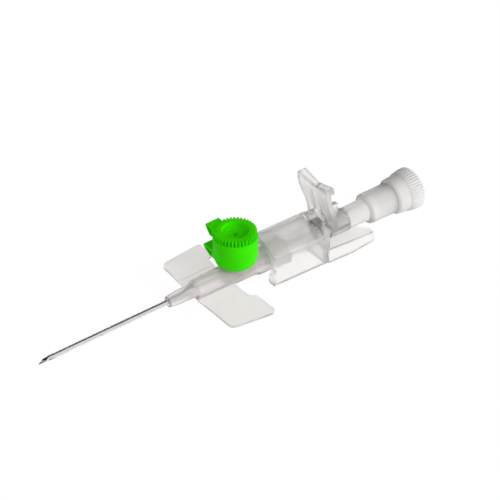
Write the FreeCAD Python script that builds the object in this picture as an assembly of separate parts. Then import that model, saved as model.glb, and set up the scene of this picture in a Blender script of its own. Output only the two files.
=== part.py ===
import FreeCAD, Part
import math
import os

# Ported, winged IV cannula with its needle still in, 18 gauge, in millimetres.
# The needle axis is the X axis: the tip points to -X and the white stopper is at +X.
# The origin is on the axis at the front face of the hub nose, and +Z is up.

# Needle and catheter
NEEDLE_OD = 0.95
NEEDLE_BORE = 0.60
NEEDLE_TIP_X = -36.1
NEEDLE_END_X = 43.0
BEVEL_LENGTH = 2.9
BEVEL_TOP_ANGLE = 35.0
CATHETER_OD = 1.30
CATHETER_LENGTH = 33.2
CATHETER_TIP_OD = 1.10
CATHETER_TAPER = 2.5
CATHETER_CLEARANCE = 0.025

# Catheter anchorage in the hub
SHANK_END_X = 4.6
SHANK_END_OD = 1.50
FLARE_END_X = 6.1
FLARE_OD = 2.30
TUBE_WALL = CATHETER_OD / 2 - NEEDLE_OD / 2 - CATHETER_CLEARANCE
EYELET_WALL = 0.14
EYELET_COLLAR = 0.9
EYELET_BORE = 1.10

# Hub body
NOSE_FRONT_OD = 2.6
NOSE_OD = 3.3
NOSE_LENGTH = 6.9
NOSE_KNEE_SHARE = 0.35
NOSE_KNEE_OD = 3.15
NOSE_STEP = 0.5
BODY_FRONT_OD = 4.4
BODY_REAR_OD = 5.2
BODY_NECK_OD = 5.4
BODY_NECK_SPACE = 0.8
HUB_BORE = 3.0
FUNNEL_LENGTH = 1.4
PORT_X = 18.9
LUER_BODY_X = 24.3
LUER_BODY_OD = 6.5
LUER_END_X = 31.5
LUG_REACH = 3.85
LUG_WIDTH = 2.4
LUG_LENGTH = 1.1
SADDLE_Z = -2.35
SADDLE_WIDTH = 3.2
SADDLE_END_X = 23.9

# Luer fit: a cone of six per cent
LUER_MOUTH = 4.27
LUER_TAPER = 0.06
LUER_DEPTH = 7.2
LUER_CLEARANCE = 0.03
LUER_END_GAP = 0.3
LUER_RUN_ON = 1.0

# Wings
WING_THICKNESS = 0.65
STRIP_THICKNESS = 0.42
WING_FRONT_X = 7.1
WING_REAR_X = 18.3
STRIP_REAR_X = 17.3
WING_ROOT = 1.4
STRIP_END = 5.7
WING_NOTCH = 8.0
STRIP_OVERLAP = 0.6
STRIP_CORNER = 0.4
WING_SPLAY = 0.3
WING_Z = -2.35
WING_CORNER = 1.4
NEAR_REACH_FRONT = 14.2
NEAR_REACH_REAR = 15.9
NEAR_RISE = 0.0
FAR_REACH_FRONT = 11.6
FAR_REACH_REAR = 12.4
FAR_RISE = 13.0

# Port tower and its silicone sleeve
TOWER_OD = 6.0
TOWER_TOP_Z = 9.0
BEAD_OD = 6.5
BEAD_Z = 5.6
VALVE_LENGTH = 8.0
VALVE_WALL = 0.45
PORT_HOLE = 1.6
PORT_FLOOR = 1.0

# Green collar and toothed cap
COLLAR_BOTTOM_Z = 3.2
COLLAR_TOP_Z = 9.7
COLLAR_OD = 10.1
COLLAR_WALL = 0.9
COLLAR_WEB = 1.1
TURN_CLEARANCE = 0.06
CAP_TOP_Z = 11.1
CAP_LEDGE = 0.175
CAP_OD = COLLAR_OD - 2 * CAP_LEDGE
CAP_EDGE = 0.1
TOOTH_DEPTH = 0.75
TOOTH_COUNT = 36
TOOTH_LAND = 0.2
RECESS_OD = 6.1
RECESS_DEPTH = 0.85
DISH_OD = 4.3
DISH_DEPTH = 1.1
CENTRE_HOLE = 1.3
CENTRE_HOLE_DEPTH = 2.0
CENTRE_HOLE_DRAFT = 0.26
CAP_SKIRT_WALL = 0.55
CAP_SKIRT_DEPTH = 2.2
CAP_PLUG_DEPTH = 3.0
TAB_WIDTH = 3.7
TAB_OFFSET = -1.8
TAB_STAND_UPPER = 1.05
TAB_STAND_LOWER = 1.85
TAB_LIP = 0.5
TAB_POCKET = 0.9
TAB_RIM = 0.45
TAB_ROOT_OVERLAP = 0.2
TAB_FOOT_OVERLAP = 0.4
TAB_PASS = 0.15
TAB_EDGE = 0.2
UPPER_GUSSET = 2.5
LOWER_TAB_TOP_Z = 5.0
EDGE_ROUND = 0.3

# Needle grip: shroud over the luer joint
SHROUD_FRONT_X = 25.8
SHROUD_REAR_X = 41.3
SHROUD_WALL = 0.9
SHOULDER_INSET_SHARE = 0.35
FRONT_WALL = 1.0
REAR_WALL = 1.4
FRONT_HALF = 5.1
FRONT_SHOULDER_Z = 2.8
FRONT_CROWN_Z = 5.3
FRONT_FOOT_Z = -4.8
REAR_HALF = 5.4
REAR_SHOULDER_Z = 2.2
REAR_CROWN_Z = 4.8
REAR_FOOT_Z = -4.9
SLOT_HALF = 3.2
PASS_CLEARANCE = 0.2

# Needle grip: finger deck, ears and rear socket
EAR_HALF = 5.7
EAR_WALL = 0.85
EAR_END_X = 53.5
EAR_FOOT_X = 47.0
EAR_FOOT_Z = -5.2
EAR_TIP_FOOT_Z = -4.7
DECK_FRONT_Z = -1.1
DECK_REAR_Z = -2.0
DECK_THICKNESS = 0.9
DECK_OVERLAP = 0.6
NOTCH_FRONT_X = 48.6
NOTCH_FRONT_HALF = 1.0
NOTCH_MID_X = 51.2
NOTCH_MID_HALF = 2.0
NOTCH_REAR_X = 52.8
NOTCH_REAR_HALF = 3.3
EAR_TIP_HALF = 3.9
EAR_CORNER = 0.8
EAR_SWEEP = 6.0
SOCKET_OD = 5.4
SOCKET_END_X = 49.3
SOCKET_BORE = 4.2
SOCKET_BORE_X = 44.6

# Needle grip: thumb plate
PLATE_FACE_X = 41.0
PLATE_MID_X = 41.6
PLATE_FOOT_X = 42.6
PLATE_THICKNESS = 1.2
PLATE_TOP_Z = 14.7
PLATE_MID_Z = 8.6
PLATE_FOOT_Z = 5.6
PLATE_DIP = 1.5
PLATE_TOP_HALF = 5.3
PLATE_MID_HALF = 5.1
PLATE_WAIST_HALF = 4.9
PLATE_ROOT_HALF = 4.6
PLATE_ROOT_Z = 2.2
PLATE_CORNER = 0.5
PLATE_HOLLOW = 3.0
PLATE_DIP_ROUND = 2.5
STRIP_LENGTH_X = 2.1
STRIP_HEIGHT = 1.6
RIB_WIDTH = 1.2
RIB_DEPTH = 0.85
RIB_TOP_Z = 12.0
RIB_TOP_DEPTH = 0.4
RIB_BITE = 0.5
GUSSET_END_X = 47.4
GUSSET_TOP_Z = 5.7
GUSSET_FOOT_Z = 1.5
GUSSET_WIDTH = 1.0
WEB_TOP_Z = 12.7
WEB_DEPTH = 1.3
WEB_CORNER = 0.3
FOOT_HOOD_RADIUS = 2.3
FOOT_HOOD_X = 39.2
FOOT_HOOD_Z = 3.9

# Needle bush in its well
BUSH_LENGTH = 1.6
BUSH_WIDTH = 1.5
BUSH_ROUND = 0.3
BUSH_FRONT_X = 40.8
BUSH_TOP_Z = 2.9
BUSH_FOOT_Z = -1.0

# Flash chamber, filter and stopper
NECK_OD = 5.1
NECK_BORE = 2.6
NECK_GAP = 0.1
CHAMBER_X = 55.2
CHAMBER_OD = 7.1
CHAMBER_WALL = 0.9
CHAMBER_RISE = 0.3
CHAMBER_SHOULDER_OD = 6.3
CHAMBER_SHOULDER = 0.4
CHAMBER_FLOOR = 0.6
CHAMBER_FLOOR_OD = 5.0
CHAMBER_END_X = 62.3
TAIL_OD = 5.9
TAIL_END_X = 66.2
FILTER_LENGTH = 2.0
FILTER_GAP = 0.5
STOPPER_FRONT_OD = 8.3
STOPPER_REAR_OD = 8.6
STOPPER_RIM_X = 65.8
STOPPER_RIM_OD = 9.7
STOPPER_RISE = 0.4
STOPPER_RISE_OD = 9.3
STOPPER_END_X = 69.1
STOPPER_END_OD = 8.7
STOPPER_END_ROUND = 0.5
STOPPER_DISH_OD = 7.3
STOPPER_DISH_FLOOR_OD = 6.3
STOPPER_DISH_DEPTH = 1.2
STOPPER_RIB_LAND = 0.07
STOPPER_RIB_COUNT = 44
STOPPER_RIB_DEPTH = 0.32
STOPPER_PLUG_LENGTH = 4.1
STOPPER_CLEARANCE = 0.05

CUT_MARGIN = 0.3
OPEN_SPACE = 4.0
BIG = 60.0


def vec(x, y, z):
    """Return a point or direction."""
    return FreeCAD.Vector(x, y, z)


X_AXIS = vec(1, 0, 0)
Y_AXIS = vec(0, 1, 0)
Z_AXIS = vec(0, 0, 1)


def block(x0, x1, y0, y1, z0, z1):
    """Return a box between two corners."""
    return Part.makeBox(x1 - x0, y1 - y0, z1 - z0, vec(x0, y0, z0))


def rod(x0, x1, diameter):
    """Return a round rod on the needle axis."""
    return Part.makeCylinder(diameter / 2, x1 - x0, vec(x0, 0, 0), X_AXIS)


def turned(profile):
    """Turn a closed outline of (x, diameter) points about the needle axis."""
    points = [vec(x, 0, d / 2) for x, d in profile]
    face = Part.Face(Part.makePolygon(points + points[:1]))
    return face.revolve(vec(0, 0, 0), X_AXIS, 360)


def upright(profile):
    """Turn a closed outline of (diameter, z) points about the port axis."""
    points = [vec(PORT_X + d / 2, 0, z) for d, z in profile]
    face = Part.Face(Part.makePolygon(points + points[:1]))
    return face.revolve(vec(PORT_X, 0, 0), Z_AXIS, 360)


def rounded_wire(corners, place):
    """Return a closed wire through (a, b, radius) corners, each rounded by its radius."""
    count = len(corners)
    starts = []
    ends = []
    mids = []
    for i in range(count):
        a, b, radius = corners[i]
        corner = vec(a, b, 0)
        before = vec(corners[i - 1][0], corners[i - 1][1], 0) - corner
        after = vec(corners[(i + 1) % count][0], corners[(i + 1) % count][1], 0) - corner
        before.normalize()
        after.normalize()
        half = before.getAngle(after) / 2
        reach = radius / math.tan(half)
        middle = before + after
        starts.append(corner + before * reach)
        ends.append(corner + after * reach)
        if radius > 0:
            middle.normalize()
            mids.append(corner + middle * (radius / math.sin(half) - radius))
        else:
            mids.append(corner)
    edges = []
    for i in range(count):
        if corners[i][2] > 0:
            edges.append(Part.Arc(place(starts[i]), place(mids[i]), place(ends[i])).toShape())
        following = starts[(i + 1) % count]
        if (following - ends[i]).Length > 1e-6:
            edges.append(Part.LineSegment(place(ends[i]), place(following)).toShape())
    return Part.Wire(edges)


def prism_x(corners, x0, x1):
    """Extrude a rounded outline of (y, z, radius) corners along X."""
    wire = rounded_wire(corners, lambda p: vec(x0, p.x, p.y))
    return Part.Face(wire).extrude(vec(x1 - x0, 0, 0))


def prism_y(corners, y0, y1):
    """Extrude a rounded outline of (x, z, radius) corners along Y."""
    wire = rounded_wire(corners, lambda p: vec(p.x, y0, p.y))
    return Part.Face(wire).extrude(vec(0, y1 - y0, 0))


def prism_z(corners, z0, z1):
    """Extrude a rounded outline of (x, y, radius) corners along Z."""
    wire = rounded_wire(corners, lambda p: vec(p.x, p.y, z0))
    return Part.Face(wire).extrude(vec(0, 0, z1 - z0))


def joined(shapes):
    """Fuse shapes into one clean solid."""
    result = shapes[0].multiFuse(shapes[1:])
    return result.removeSplitter()


# Needle: a straight tube with a long main bevel and two short lancet grinds

def make_needle():
    """Return the bevelled steel tube."""
    tube = rod(NEEDLE_TIP_X, NEEDLE_END_X, NEEDLE_OD)
    tube = tube.cut(rod(NEEDLE_TIP_X - 1, NEEDLE_END_X + 1, NEEDLE_BORE))
    slope = math.degrees(math.atan2(NEEDLE_OD, BEVEL_LENGTH))
    point = vec(NEEDLE_TIP_X, 0, -NEEDLE_OD / 2)
    grind = block(NEEDLE_TIP_X - 5, NEEDLE_TIP_X + 2 * BEVEL_LENGTH, -1, 1, -NEEDLE_OD / 2, 4)
    grind.rotate(point, Y_AXIS, -slope)
    tube = tube.cut(grind)
    for side in (-1, 1):
        lancet = block(NEEDLE_TIP_X - 2, NEEDLE_TIP_X + BEVEL_LENGTH, 0, 2, -2, 2)
        lancet.rotate(vec(NEEDLE_TIP_X, 0, 0), Z_AXIS, BEVEL_TOP_ANGLE / 2)
        if side < 0:
            lancet = lancet.mirror(vec(0, 0, 0), Y_AXIS)
        tube = tube.cut(lancet)
    return tube


# Catheter tube, thinned at the tip and flared over the eyelet in the hub

CATHETER_BORE = NEEDLE_OD + 2 * CATHETER_CLEARANCE


def make_catheter_tube():
    """Return the soft tube with its tapered tip and its flare."""
    tip = -CATHETER_LENGTH
    return turned([
        (tip, CATHETER_BORE),
        (tip, CATHETER_TIP_OD),
        (tip + CATHETER_TAPER, CATHETER_OD),
        (0, CATHETER_OD),
        (SHANK_END_X, SHANK_END_OD),
        (FLARE_END_X, FLARE_OD),
        (FLARE_END_X, FLARE_OD - 2 * TUBE_WALL),
        (SHANK_END_X, SHANK_END_OD - 2 * TUBE_WALL),
        (0, CATHETER_BORE),
    ])


def make_eyelet():
    """Return the steel wedge ring that spreads the tube into the hub."""
    flare_bore = FLARE_OD - 2 * TUBE_WALL
    return turned([
        (SHANK_END_X, EYELET_BORE),
        (SHANK_END_X, SHANK_END_OD - 2 * TUBE_WALL),
        (FLARE_END_X, flare_bore),
        (FLARE_END_X, FLARE_OD),
        (FLARE_END_X + EYELET_COLLAR, FLARE_OD),
        (FLARE_END_X + EYELET_COLLAR, FLARE_OD - 2 * EYELET_WALL),
        (FLARE_END_X, flare_bore - 2 * EYELET_WALL),
    ])


# Hub: nose, body, port tower, wings and female luer end, moulded as one

VALVE_OD = HUB_BORE + 2 * VALVE_WALL


def make_hub_skin():
    """Return the outer form of the hub body without its bores."""
    neck_x = PORT_X + TOWER_OD / 2 + BODY_NECK_SPACE
    body = turned([
        (0, 0),
        (0, NOSE_FRONT_OD),
        (NOSE_LENGTH * NOSE_KNEE_SHARE, NOSE_KNEE_OD),
        (NOSE_LENGTH, NOSE_OD),
        (NOSE_LENGTH + NOSE_STEP, BODY_FRONT_OD),
        (PORT_X, BODY_REAR_OD),
        (neck_x, BODY_NECK_OD),
        (LUER_BODY_X, LUER_BODY_OD),
        (LUER_END_X, LUER_BODY_OD),
        (LUER_END_X, 0),
    ])
    saddle_x = NOSE_LENGTH + NOSE_STEP
    saddle = block(saddle_x, SADDLE_END_X, -SADDLE_WIDTH / 2, SADDLE_WIDTH / 2, SADDLE_Z, 0)
    lug_x = LUER_END_X - LUG_LENGTH
    lugs = block(lug_x, LUER_END_X, -LUG_REACH, LUG_REACH, -LUG_WIDTH / 2, LUG_WIDTH / 2)
    lugs = lugs.common(rod(lug_x, LUER_END_X, 2 * LUG_REACH))
    return [body, saddle, lugs]


def make_tower():
    """Return the outer form of the port tower with its retaining bead."""
    half_bead = (BEAD_OD - TOWER_OD) / 2
    return upright([
        (0, 0),
        (TOWER_OD, 0),
        (TOWER_OD, BEAD_Z - half_bead),
        (BEAD_OD, BEAD_Z),
        (TOWER_OD, BEAD_Z + half_bead),
        (TOWER_OD, TOWER_TOP_Z),
        (0, TOWER_TOP_Z),
    ])


def make_wing(side, reach_front, reach_rear, rise):
    """Return one wing: a thin hinge strip and a thicker plate, lifted by the rise angle."""
    strip = prism_z([
        (WING_FRONT_X, WING_ROOT, 0),
        (WING_FRONT_X, WING_NOTCH - STRIP_OVERLAP, 0),
        (STRIP_REAR_X - STRIP_CORNER, WING_NOTCH - STRIP_OVERLAP, 0),
        (STRIP_REAR_X, WING_ROOT, 0),
    ], WING_Z, WING_Z + STRIP_THICKNESS)
    plate = prism_z([
        (WING_FRONT_X, STRIP_END, 0),
        (WING_FRONT_X - WING_SPLAY, reach_front, WING_CORNER),
        (WING_REAR_X, reach_rear, WING_CORNER),
        (WING_REAR_X, WING_NOTCH, STRIP_CORNER),
        (STRIP_REAR_X - WING_SPLAY, WING_NOTCH, STRIP_CORNER),
        (STRIP_REAR_X - WING_SPLAY, STRIP_END, 0),
    ], WING_Z, WING_Z + WING_THICKNESS)
    wing = joined([strip, plate])
    if side < 0:
        wing = wing.mirror(vec(0, 0, 0), Y_AXIS)
    wing.rotate(vec(0, side * WING_ROOT, WING_Z), X_AXIS, side * rise)
    return wing


def luer_diameter(x):
    """Return the female cone's diameter at a place along the axis."""
    return LUER_MOUTH - LUER_TAPER * (LUER_END_X - x)


def make_hub_bores():
    """Return what is cut from the hub: tube seat, fluid way, valve seat, luer cone and port."""
    seat_end = FLARE_END_X + EYELET_COLLAR
    valve_x0 = PORT_X - VALVE_LENGTH / 2
    valve_x1 = PORT_X + VALVE_LENGTH / 2
    cone_x = LUER_END_X - LUER_DEPTH
    way = turned([
        (-1, 0),
        (-1, CATHETER_OD),
        (0, CATHETER_OD),
        (SHANK_END_X, SHANK_END_OD),
        (FLARE_END_X, FLARE_OD),
        (seat_end, FLARE_OD),
        (seat_end + FUNNEL_LENGTH, HUB_BORE),
        (valve_x0, HUB_BORE),
        (valve_x0, VALVE_OD),
        (valve_x1, VALVE_OD),
        (valve_x1, luer_diameter(cone_x)),
        (cone_x, luer_diameter(cone_x)),
        (LUER_END_X, LUER_MOUTH),
        (LUER_END_X + 1, LUER_MOUTH),
        (LUER_END_X + 1, 0),
    ])
    port_bottom = BODY_REAR_OD / 2 + PORT_FLOOR
    port_cone = upright([
        (0, port_bottom),
        (luer_diameter(LUER_END_X - (TOWER_TOP_Z - port_bottom)), port_bottom),
        (LUER_MOUTH, TOWER_TOP_Z),
        (LUER_MOUTH, TOWER_TOP_Z + 1),
        (0, TOWER_TOP_Z + 1),
    ])
    hole_top = port_bottom + CUT_MARGIN
    hole = upright([(0, 0), (PORT_HOLE, 0), (PORT_HOLE, hole_top), (0, hole_top)])
    return [way, port_cone, hole]


def make_hub():
    """Return the whole hub moulding."""
    near = make_wing(-1, NEAR_REACH_FRONT, NEAR_REACH_REAR, NEAR_RISE)
    far = make_wing(1, FAR_REACH_FRONT, FAR_REACH_REAR, FAR_RISE)
    hub = joined(make_hub_skin() + [make_tower(), near, far])
    for bore in make_hub_bores():
        hub = hub.cut(bore)
    return hub


def make_valve():
    """Return the silicone sleeve that lies across the port hole."""
    return turned([
        (PORT_X - VALVE_LENGTH / 2, HUB_BORE),
        (PORT_X - VALVE_LENGTH / 2, VALVE_OD),
        (PORT_X + VALVE_LENGTH / 2, VALVE_OD),
        (PORT_X + VALVE_LENGTH / 2, HUB_BORE),
    ])


# Green collar and toothed cap

def make_tab(root, stand, top_z, foot_z):
    """Return a pull tab towards +Y, rooted at a radius: a slanted ledge with a pocket in its side."""
    reach = COLLAR_OD / 2 + stand
    foot = COLLAR_OD / 2 - TAB_FOOT_OVERLAP
    x0 = PORT_X + TAB_OFFSET - TAB_WIDTH / 2
    x1 = x0 + TAB_WIDTH
    tab = prism_x([
        (0, top_z, 0),
        (reach, top_z, TAB_EDGE),
        (reach, top_z - TAB_LIP, TAB_EDGE),
        (foot, foot_z, 0),
        (0, foot_z, 0),
    ], x0, x1)
    core = upright([(0, foot_z), (2 * root, foot_z), (2 * root, top_z), (0, top_z)])
    slope = (reach - foot) / (top_z - TAB_LIP - foot_z)
    pocket_top = top_z - TAB_RIM
    pocket_foot = foot_z + TAB_RIM
    pocket_root = math.sqrt((COLLAR_OD / 2) ** 2 - (TAB_WIDTH / 2 - TAB_OFFSET) ** 2) + TAB_RIM
    pocket = [
        (pocket_root, pocket_top, 0),
        (reach - TAB_RIM, pocket_top, 0),
        (reach - TAB_RIM, top_z - TAB_LIP - TAB_RIM / 2, 0),
        (foot - TAB_RIM + slope * TAB_RIM, pocket_foot, 0),
        (pocket_root, pocket_foot, 0),
    ]
    return tab.cut(core).cut(prism_x(pocket, x0 - CUT_MARGIN, x0 + TAB_POCKET))


def make_collar():
    """Return the green sleeve: outer wall, web on the tower and lower tab."""
    bore = TOWER_OD + 2 * TURN_CLEARANCE
    inner = COLLAR_OD - 2 * COLLAR_WALL
    web_top = COLLAR_BOTTOM_Z + COLLAR_WEB
    body = upright([
        (bore, COLLAR_BOTTOM_Z),
        (COLLAR_OD - 2 * EDGE_ROUND, COLLAR_BOTTOM_Z),
        (COLLAR_OD, COLLAR_BOTTOM_Z + EDGE_ROUND),
        (COLLAR_OD, COLLAR_TOP_Z - EDGE_ROUND),
        (COLLAR_OD - 2 * EDGE_ROUND, COLLAR_TOP_Z),
        (inner, COLLAR_TOP_Z),
        (inner, web_top),
        (bore, web_top),
    ])
    root = COLLAR_OD / 2 - COLLAR_WALL + TAB_ROOT_OVERLAP
    tab = make_tab(root, TAB_STAND_LOWER, LOWER_TAB_TOP_Z, COLLAR_BOTTOM_Z + EDGE_ROUND / 2)
    return joined([body, tab])


def make_cap():
    """Return the toothed cap with its recess, skirt, plug and upper tab."""
    skirt_in = TOWER_OD + 2 * TURN_CLEARANCE
    skirt_out = skirt_in + 2 * CAP_SKIRT_WALL
    skirt_z = TOWER_TOP_Z - CAP_SKIRT_DEPTH
    plug_z = TOWER_TOP_Z - CAP_PLUG_DEPTH
    plug_top = LUER_MOUTH - 2 * LUER_CLEARANCE
    plug_tip = plug_top - LUER_TAPER * CAP_PLUG_DEPTH
    floor = CAP_TOP_Z - RECESS_DEPTH
    lid = upright([
        (0, plug_z),
        (plug_tip, plug_z),
        (plug_top, TOWER_TOP_Z),
        (plug_top, TOWER_TOP_Z + LUER_CLEARANCE),
        (skirt_in, TOWER_TOP_Z + LUER_CLEARANCE),
        (skirt_in, skirt_z),
        (skirt_out, skirt_z),
        (skirt_out, COLLAR_TOP_Z),
        (CAP_OD, COLLAR_TOP_Z),
        (CAP_OD, CAP_TOP_Z - CAP_EDGE),
        (CAP_OD - 2 * CAP_EDGE, CAP_TOP_Z),
        (RECESS_OD + 2 * CAP_EDGE, CAP_TOP_Z),
        (RECESS_OD, floor),
        (DISH_OD, floor),
        (DISH_OD - EDGE_ROUND, floor - (DISH_DEPTH - RECESS_DEPTH)),
        (CENTRE_HOLE, floor - (DISH_DEPTH - RECESS_DEPTH)),
        (CENTRE_HOLE - CENTRE_HOLE_DRAFT, CAP_TOP_Z - CENTRE_HOLE_DEPTH),
        (0, CAP_TOP_Z - CENTRE_HOLE_DEPTH),
    ])
    notch_half = (math.pi * CAP_OD / TOOTH_COUNT - TOOTH_LAND) / 2
    outer = CAP_OD / 2 + CUT_MARGIN
    inner = CAP_OD / 2 - TOOTH_DEPTH
    outer_half = notch_half * (TOOTH_DEPTH + CUT_MARGIN) / TOOTH_DEPTH
    notches = []
    for i in range(TOOTH_COUNT):
        wedge = prism_z([
            (inner, 0, 0),
            (outer, -outer_half, 0),
            (outer, outer_half, 0),
        ], COLLAR_TOP_Z - CUT_MARGIN, CAP_TOP_Z + CUT_MARGIN)
        wedge.rotate(vec(0, 0, 0), Z_AXIS, i * 360.0 / TOOTH_COUNT)
        wedge.translate(vec(PORT_X, 0, 0))
        notches.append(wedge)
    lid = lid.cut(Part.makeCompound(notches))
    root = inner - TAB_ROOT_OVERLAP
    tab = make_tab(root, TAB_STAND_UPPER, CAP_TOP_Z - EDGE_ROUND / 2, CAP_TOP_Z - UPPER_GUSSET)
    keep_out = upright([
        (0, 0),
        (COLLAR_OD + 2 * TAB_PASS, 0),
        (COLLAR_OD + 2 * TAB_PASS, COLLAR_TOP_Z),
        (0, COLLAR_TOP_Z),
    ])
    return joined([lid, tab.cut(keep_out)])


# Needle grip

def shroud_wire(x, half, shoulder_z, crown_z, foot_z, inset):
    """Return the arched section of the shroud, moved inwards by the inset."""
    y = half - inset
    foot = foot_z if inset == 0 else foot_z - OPEN_SPACE
    crown = crown_z - inset
    shoulder = shoulder_z - inset * SHOULDER_INSET_SHARE
    edges = [
        Part.LineSegment(vec(x, -y, foot), vec(x, -y, shoulder)).toShape(),
        Part.Arc(vec(x, -y, shoulder), vec(x, 0, crown), vec(x, y, shoulder)).toShape(),
        Part.LineSegment(vec(x, y, shoulder), vec(x, y, foot)).toShape(),
        Part.LineSegment(vec(x, y, foot), vec(x, -y, foot)).toShape(),
    ]
    return Part.Wire(edges)


def shroud_blend(x):
    """Return the section's half width, shoulder, crown and foot at a place along the axis."""
    share = (x - SHROUD_FRONT_X) / (SHROUD_REAR_X - SHROUD_FRONT_X)
    return (
        FRONT_HALF + share * (REAR_HALF - FRONT_HALF),
        FRONT_SHOULDER_Z + share * (REAR_SHOULDER_Z - FRONT_SHOULDER_Z),
        FRONT_CROWN_Z + share * (REAR_CROWN_Z - FRONT_CROWN_Z),
        FRONT_FOOT_Z + share * (REAR_FOOT_Z - FRONT_FOOT_Z),
    )


def shroud_loft(x0, x1, inset):
    """Return the shroud's body between two places, moved inwards by the inset."""
    wires = [shroud_wire(x, *shroud_blend(x), inset) for x in (x0, x1)]
    return Part.makeLoft(wires, True, True)


def make_shroud():
    """Return the shroud with its keyhole front wall and solid rear wall."""
    outer = shroud_loft(SHROUD_FRONT_X, SHROUD_REAR_X, 0)
    inner = shroud_loft(SHROUD_FRONT_X + FRONT_WALL, SHROUD_REAR_X - REAR_WALL, SHROUD_WALL)
    x0 = SHROUD_FRONT_X - CUT_MARGIN
    x1 = SHROUD_FRONT_X + FRONT_WALL + CUT_MARGIN
    keyhole = rod(x0, x1, 2 * (LUG_REACH + PASS_CLEARANCE))
    slot = block(x0, x1, -SLOT_HALF, SLOT_HALF, FRONT_FOOT_Z - OPEN_SPACE, 0)
    return outer.cut(inner).cut(keyhole).cut(slot)


def make_male_nose():
    """Return the male luer cone that carries the needle."""
    tip_x = LUER_END_X - LUER_DEPTH + LUER_END_GAP
    root_x = SHROUD_REAR_X - REAR_WALL
    mouth = LUER_MOUTH - 2 * LUER_CLEARANCE
    return turned([
        (tip_x, 0),
        (tip_x, mouth - LUER_TAPER * (LUER_END_X - tip_x)),
        (LUER_END_X, mouth),
        (LUER_END_X + LUER_RUN_ON, mouth + LUER_TAPER * LUER_RUN_ON),
        (root_x, SOCKET_OD),
        (root_x, 0),
    ])


def make_deck():
    """Return the sloping finger deck with its notched rear edge."""
    front = SHROUD_REAR_X - DECK_OVERLAP
    outline = [
        (front, -EAR_HALF, 0),
        (EAR_END_X, -EAR_HALF, EAR_CORNER / 2),
        (EAR_END_X, -EAR_TIP_HALF, EAR_CORNER / 2),
        (NOTCH_REAR_X, -NOTCH_REAR_HALF, EAR_CORNER / 2),
        (NOTCH_MID_X, -NOTCH_MID_HALF, EAR_CORNER),
        (NOTCH_FRONT_X, -NOTCH_FRONT_HALF, 0),
    ]
    mirrored = [(x, -y, radius) for x, y, radius in reversed(outline)]
    plan = prism_z(outline + mirrored, -BIG, BIG)
    slab = prism_y([
        (front, DECK_FRONT_Z, 0),
        (EAR_END_X, DECK_REAR_Z, 0),
        (EAR_END_X, DECK_REAR_Z - DECK_THICKNESS, 0),
        (front, DECK_FRONT_Z - DECK_THICKNESS, 0),
    ], -EAR_HALF, EAR_HALF)
    return slab.common(plan)


def make_ear(side):
    """Return one finger ear: the side wall below the deck's outer edge."""
    front = SHROUD_REAR_X - DECK_OVERLAP
    wall = prism_y([
        (front, DECK_FRONT_Z, 0),
        (EAR_END_X, DECK_REAR_Z, EAR_CORNER),
        (EAR_END_X, EAR_TIP_FOOT_Z, EAR_CORNER),
        (EAR_FOOT_X, EAR_FOOT_Z, EAR_SWEEP),
        (front, REAR_FOOT_Z, 0),
    ], EAR_HALF - EAR_WALL, EAR_HALF)
    if side < 0:
        wall = wall.mirror(vec(0, 0, 0), Y_AXIS)
    return wall


def plate_side(offset):
    """Return points down the thumb plate's front face, moved rearwards by the offset."""
    return [
        vec(PLATE_FACE_X + offset, 0, PLATE_TOP_Z + 1),
        vec(PLATE_MID_X + offset, 0, PLATE_MID_Z),
        vec(PLATE_FOOT_X + offset, 0, PLATE_FOOT_Z),
        vec(PLATE_FOOT_X + offset, 0, PLATE_ROOT_Z - 1),
    ]


def make_plate():
    """Return the thumb plate: a curved sheet trimmed to a fish tail, with its thick top strip."""
    front = Part.BSplineCurve()
    front.interpolate(plate_side(0))
    rear = Part.BSplineCurve()
    rear.interpolate(plate_side(PLATE_THICKNESS))
    top = Part.LineSegment(plate_side(0)[0], plate_side(PLATE_THICKNESS)[0]).toShape()
    bottom = Part.LineSegment(plate_side(0)[-1], plate_side(PLATE_THICKNESS)[-1]).toShape()
    wire = Part.Wire(Part.__sortEdges__([front.toShape(), bottom, rear.toShape(), top]))
    sheet = Part.Face(wire).extrude(vec(0, 2 * PLATE_TOP_HALF + 2, 0))
    sheet.translate(vec(0, -PLATE_TOP_HALF - 1, 0))
    strip_face = PLATE_FACE_X - (STRIP_LENGTH_X - PLATE_THICKNESS) / 2
    strip = prism_x(fish_tail(), strip_face, strip_face + STRIP_LENGTH_X)
    below = prism_x([
        (-BIG, -BIG, 0),
        (BIG, -BIG, 0),
        (BIG, PLATE_TOP_Z - STRIP_HEIGHT, 0),
        (PLATE_TOP_HALF, PLATE_TOP_Z - STRIP_HEIGHT, 0),
        (0, PLATE_TOP_Z - STRIP_HEIGHT - PLATE_DIP / 2, PLATE_DIP_ROUND),
        (-PLATE_TOP_HALF, PLATE_TOP_Z - STRIP_HEIGHT, 0),
        (-BIG, PLATE_TOP_Z - STRIP_HEIGHT, 0),
    ], strip_face - 1, strip_face + STRIP_LENGTH_X + 1)
    trim = prism_x(fish_tail(), PLATE_FACE_X - OPEN_SPACE, PLATE_FOOT_X + OPEN_SPACE)
    return [sheet.common(trim), strip.cut(below)]


def fish_tail():
    """Return the front outline of the thumb plate as (y, z, radius) corners."""
    right = [
        (PLATE_TOP_HALF, PLATE_TOP_Z, PLATE_CORNER),
        (PLATE_TOP_HALF, PLATE_TOP_Z - STRIP_HEIGHT, PLATE_CORNER),
        (PLATE_MID_HALF, PLATE_MID_Z, PLATE_HOLLOW),
        (PLATE_WAIST_HALF, PLATE_FOOT_Z, PLATE_HOLLOW / 2),
        (PLATE_ROOT_HALF, PLATE_ROOT_Z, 0),
    ]
    left = [(-y, z, radius) for y, z, radius in reversed(right)]
    return [(0, PLATE_TOP_Z - PLATE_DIP, PLATE_DIP_ROUND)] + right + left


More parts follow.
